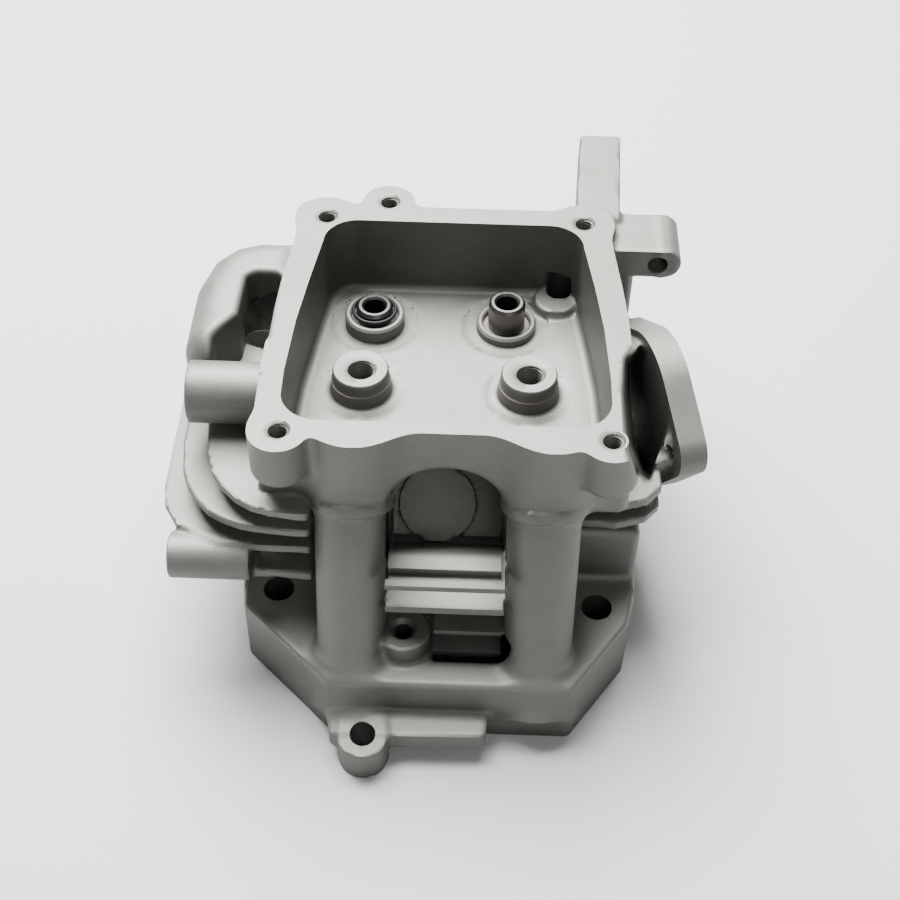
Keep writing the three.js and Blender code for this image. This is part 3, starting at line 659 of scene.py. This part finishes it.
whole = mesh_piece("casting", points / 1000, faces)
solid = whole.data
below = halved(solid, "below", 2, SPLIT_Z, 1)
beyond = halved(below, "beyond", 0, SPLIT_X[0], -1)
parts = {
    "casting_rocker_box": halved(solid, "casting_rocker_box", 2, SPLIT_Z, -1),
    "casting_left": halved(below, "casting_left", 0, SPLIT_X[0], 1),
    "casting_middle": halved(beyond, "casting_middle", 0, SPLIT_X[1], 1),
    "casting_right": halved(beyond, "casting_right", 0, SPLIT_X[1], -1),
}
bpy.data.objects.remove(whole)
for mesh in (solid, below, beyond):
    bpy.data.meshes.remove(mesh)
casting = {name: mesh_object(name, mesh) for name, mesh in parts.items()}
for piece in casting.values():
    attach(piece, "root")

STEEL_NODES = ("valve_guide_exhaust", "valve_guide_intake", "valve_guide_clip",
               "valve_seat_exhaust", "valve_seat_intake")
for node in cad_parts:
    if node in STEEL_NODES:
        continue
    lo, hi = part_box(node)
    x, z = 500 * (lo[0] + hi[0]), 500 * (lo[2] + hi[2])
    if z >= SPLIT_Z:
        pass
    elif x <= SPLIT_X[0]:
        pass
    else:
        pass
    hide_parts(node)

# ---------- Casting: threads ----------
# The stud bosses and cover-screw bosses are tapped. Each thread is a ring with a helical bore
# and a chamfered mouth, set just proud of the face it opens on.

TURN = np.linspace(0, 2 * math.pi, 96, endpoint=False)


def ring_mesh(name, radii, heights, x, y):
    """A closed ring from profile rows of radius and height, in millimetres, round a vertical axis."""
    rows, around = radii.shape
    points = np.stack([x + radii * np.cos(TURN), y + radii * np.sin(TURN), heights], axis=-1)
    row, turn = np.meshgrid(np.arange(rows), np.arange(around), indexing="ij")
    up, on = (row + 1) % rows, (turn + 1) % around
    corners = [row * around + turn, row * around + on, up * around + on, up * around + turn]
    faces = np.stack([corner.ravel() for corner in corners], axis=1)
    return mesh_piece(name, points.reshape(-1, 3) / 1000, faces)


def turned_ring(name, profile, x, y):
    """A plain turned ring; the profile of radius and height runs upwards on its outside."""
    profile = np.array(profile, float)
    radii = np.repeat(profile[:, :1], len(TURN), axis=1)
    heights = np.repeat(profile[:, 1:], len(TURN), axis=1)
    return ring_mesh(name, radii, heights, x, y)


THREAD_STEPS = 8
PROUD = 0.03


def thread(name, x, y, top, depth, outside, major, minor, pitch):
    """A tapped hole: outside rows, flat lip, chamfer, then the helical bore down to its end."""
    down = np.arange(top - 0.5, top - depth, -pitch / THREAD_STEPS)
    phase = np.abs((down[:, None] / pitch + TURN / (2 * math.pi)) % 1 - 0.5) * 2
    bore = major - (major - minor) * np.clip(1.5 * phase - 0.25, 0, 1)
    fixed = np.array([*outside, (major + 0.5, top + PROUD)])
    radii = np.vstack([np.repeat(fixed[:, :1], len(TURN), axis=1), bore])
    levels = np.concatenate([fixed[:, 1], down])
    heights = np.repeat(levels[:, None], len(TURN), axis=1)
    piece = ring_mesh(name, radii, heights, x, y)
    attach(piece, "root")
    return piece


STUD_OUTSIDE = [(5.6, 63), (9.1, 66), (8.65, 71), (8.3, 71.3), (8.15, 74.5), (7.7, 75.03)]
STUD_THREAD = {"major": 4.3, "minor": 3.7, "pitch": 1.25}
COVER_OUTSIDE = [(4.1, COVER_Z - 12), (4.1, COVER_Z + PROUD)]
COVER_THREAD = {"major": 3, "minor": 2.5, "pitch": 1.0}
inserts = []
for key, side in SIDES.items():
    name = "stud_thread_" + key
    inserts.append(thread(name, side["stud"], STUD_Y, FLOOR_Z + 8, 12, STUD_OUTSIDE, **STUD_THREAD))
taps = [(x, y) for x, y, r in SCREWS] + [REAR_EAR]
for index, (x, y) in enumerate(taps, 1):
    inserts.append(thread(f"cover_thread_{index}", x, y, COVER_Z, 12, COVER_OUTSIDE, **COVER_THREAD))

# ---------- Valve guides, clip and seats ----------
# The guides are turned bars pressed into the floor, chamfered at the top, each inside the lip
# of its hub. The exhaust guide carries a spring clip. The seats are ground rings.


def fitted(piece, node=None):
    """Fixes a piece to the head and hides the CAD node it stands for."""
    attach(piece, "root")
    if node:
        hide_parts(node)
    return piece


guides, seats = [], []
for key, side in SIDES.items():
    x = side["x"]
    lip = FLOOR_Z + side["hub"]
    hub_rows = [(5.5, 65), (9, 65.5), (9, lip - 0.7), (8.4, lip), (7.6, lip), (7.1, lip - 0.5),
                (7, lip - 1.7), (5.5, lip - 1.7)]
    inserts.append(fitted(turned_ring("hub_" + key, hub_rows, x, VALVE_Y)))
    top = side["guide_top"]
    guide_rows = [(3.5, 44), (5.2, 44), (5.5, 44.4), (5.5, top - 0.9), (4.7, top), (3.9, top),
                  (3.3, top - 0.6), (3.3, 44.3)]
    guide = turned_ring("guide_" + key, guide_rows, x, VALVE_Y)
    guides.append(fitted(guide, "valve_guide_" + key))
    rim, throat = side["seat"], side["throat"]
    seat_rows = [(throat + 2.4, 12), (rim, 12), (rim, 19), (throat, 19), (throat, 14.4)]
    seat = turned_ring("seat_" + key, seat_rows, x, VALVE_Y)
    seats.append(fitted(seat, "valve_seat_" + key))
lap = np.linspace(-math.pi / 2, 1.5 * math.pi, 16, endpoint=False)
clip_rows = np.stack([6.35 + 0.55 * np.cos(lap), 72.25 + 0.65 * np.sin(lap)], axis=1)
clip = turned_ring("guide_clip", clip_rows, SIDES["exhaust"]["x"], VALVE_Y)
fitted(clip, "valve_guide_clip")

# ---------- Casting: its finish ----------
# Shot-blasted aluminium: a fine even grain and cloudy patches. Painted light and shade: faces that look
# up are painted lighter than the walls, by the height of the surface's normal.


def link(tree, source, target):
    """Joins one socket to another."""
    tree.links.new(source, target)


def scaled(tree, source, factor, offset):
    """A socket's value times a factor, plus an offset."""
    node = tree.nodes.new("ShaderNodeMath")
    node.operation = "MULTIPLY_ADD"
    link(tree, source, node.inputs[0])
    node.inputs[1].default_value = factor
    node.inputs[2].default_value = offset
    return node.outputs[0]


def noise(tree, size, detail, roughness=0.5):
    """A noise texture that stays with the piece."""
    place = tree.nodes.new("ShaderNodeTexCoord")
    texture = tree.nodes.new("ShaderNodeTexNoise")
    texture.inputs["Scale"].default_value = size
    texture.inputs["Detail"].default_value = detail
    texture.inputs["Roughness"].default_value = roughness
    link(tree, place.outputs["Object"], texture.inputs["Vector"])
    return texture.outputs["Fac"]


def blasted_aluminium_with_painted_light():
    """The casting's finish, with painted light on faces that look up and painted shade on the walls."""
    material = bpy.data.materials.new("blasted_aluminium_with_painted_light")
    material.use_nodes = True
    tree = material.node_tree
    shader = tree.nodes["Principled BSDF"]
    shader.inputs["Metallic"].default_value = 0.6
    grain = noise(tree, 2200, 2)
    cloud = noise(tree, 45, 5, 0.6)
    tone = tree.nodes.new("ShaderNodeValToRGB")
    tone.color_ramp.elements[0].position = 0.3
    tone.color_ramp.elements[0].color = (0.235, 0.228, 0.208, 1)
    tone.color_ramp.elements[1].position = 0.72
    tone.color_ramp.elements[1].color = (0.31, 0.302, 0.28, 1)
    link(tree, cloud, tone.inputs["Fac"])
    # Painted light and shade: the cloudy tone is multiplied by a factor from the normal's height, so
    # faces that look up are painted lighter and walls are painted darker.
    tone_times_painted_light = tree.nodes.new("ShaderNodeMix")
    tone_times_painted_light.data_type = "RGBA"
    tone_times_painted_light.blend_type = "MULTIPLY"
    surface = tree.nodes.new("ShaderNodeNewGeometry")
    facing = tree.nodes.new("ShaderNodeSeparateXYZ")
    link(tree, surface.outputs["Normal"], facing.inputs[0])
    painted_light_by_facing = tree.nodes.new("ShaderNodeMapRange")
    painted_light_by_facing.inputs["From Min"].default_value = 0.25
    painted_light_by_facing.inputs["From Max"].default_value = 0.92
    painted_light_by_facing.inputs["To Min"].default_value = 0.46
    painted_light_by_facing.inputs["To Max"].default_value = 1.12
    link(tree, facing.outputs["Z"], painted_light_by_facing.inputs["Value"])
    tone_times_painted_light.inputs["Factor"].default_value = 1
    link(tree, tone.outputs["Color"], tone_times_painted_light.inputs["A"])
    link(tree, painted_light_by_facing.outputs["Result"], tone_times_painted_light.inputs["B"])
    link(tree, tone_times_painted_light.outputs["Result"], shader.inputs["Base Color"])
    link(tree, scaled(tree, cloud, 0.2, 0.45), shader.inputs["Roughness"])
    bump = tree.nodes.new("ShaderNodeBump")
    bump.inputs["Strength"].default_value = 0.35
    bump.inputs["Distance"].default_value = 0.00025
    link(tree, grain, bump.inputs["Height"])
    link(tree, bump.outputs["Normal"], shader.inputs["Normal"])
    return material


finish = blasted_aluminium_with_painted_light()
for piece in [*casting.values(), *inserts]:
    piece.data.materials.append(finish)


def turned_steel(name, colour, rough, metal=1.0):
    """A machined metal with slight uneven wear."""
    material = bpy.data.materials.new(name)
    material.use_nodes = True
    tree = material.node_tree
    shader = tree.nodes["Principled BSDF"]
    shader.inputs["Base Color"].default_value = colour
    shader.inputs["Metallic"].default_value = metal
    link(tree, scaled(tree, noise(tree, 600, 2), 0.2, rough), shader.inputs["Roughness"])
    return material


guide_finish = turned_steel("turned_iron", (0.13, 0.125, 0.12, 1), 0.3)
seat_finish = turned_steel("ground_steel", (0.42, 0.42, 0.41, 1), 0.2)
for guide in guides:
    guide.data.materials.append(guide_finish)
for seat in seats:
    seat.data.materials.append(seat_finish)
clip.data.materials.append(turned_steel("black_clip", (0.02, 0.02, 0.02, 1), 0.35, 0.3))

# ---------- Studio ----------
# A pale floor, soft light from above and behind, and a camera above the push-rod side.

floor_mesh = bpy.data.meshes.new("floor")
REACH = 3
floor_corners = [(-REACH, -REACH, 0), (REACH, -REACH, 0), (REACH, REACH, 0), (-REACH, REACH, 0)]
floor_mesh.from_pydata(floor_corners, [], [(0, 1, 2, 3)])
floor = bpy.data.objects.new("floor", floor_mesh)
bpy.context.scene.collection.objects.link(floor)
paper = bpy.data.materials.new("paper")
paper.use_nodes = True
paper_shader = paper.node_tree.nodes["Principled BSDF"]
paper_shader.inputs["Base Color"].default_value = (0.9, 0.9, 0.9, 1)
paper_shader.inputs["Roughness"].default_value = 0.9
floor_mesh.materials.append(paper)
floor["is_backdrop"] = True

world = bpy.data.worlds.new("studio")
world.use_nodes = True
sky = world.node_tree.nodes["Background"]
sky.inputs["Color"].default_value = (1, 1, 1, 1)
seen = world.node_tree.nodes.new("ShaderNodeLightPath")
glow = scaled(world.node_tree, seen.outputs["Is Camera Ray"], 0.7, 0.14)
link(world.node_tree, glow, sky.inputs["Strength"])
bpy.context.scene.world = world


def softbox(name, place, aim, size, power):
    """A square area light at a place, facing a point."""
    data = bpy.data.lights.new(name, "AREA")
    data.size = size
    data.energy = power
    light = bpy.data.objects.new(name, data)
    light.location = place
    light.rotation_euler = (Vector(aim) - Vector(place)).to_track_quat("-Z", "Y").to_euler()
    bpy.context.scene.collection.objects.link(light)


softbox("overhead", (-0.15, 0.38, 0.85), (0, 0, 0.05), 0.75, 36)
softbox("front_fill", (0.3, -0.9, 0.7), (0, 0, 0.05), 0.5, 1.6)

lens = bpy.data.cameras.new("camera")
lens.lens = 60
lens.sensor_width = 36
camera = bpy.data.objects.new("camera", lens)
right = Vector((0.99938, 0.03271, 0.01286))
up = Vector((-0.03250, 0.72120, 0.69196))
back = right.cross(up)
turn = Matrix((right, up, back)).transposed().to_4x4()
camera.matrix_world = Matrix.Translation((0.0102, -0.3173, 0.3697)) @ turn
bpy.context.scene.collection.objects.link(camera)
bpy.context.scene.camera = camera

# ---------- Size, before and after the dressing ----------

dressed_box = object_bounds()
boxes = {"cad": cad_box, "scene": dressed_box}
{name: [list(corner) for corner in box] for name, box in boxes.items()}
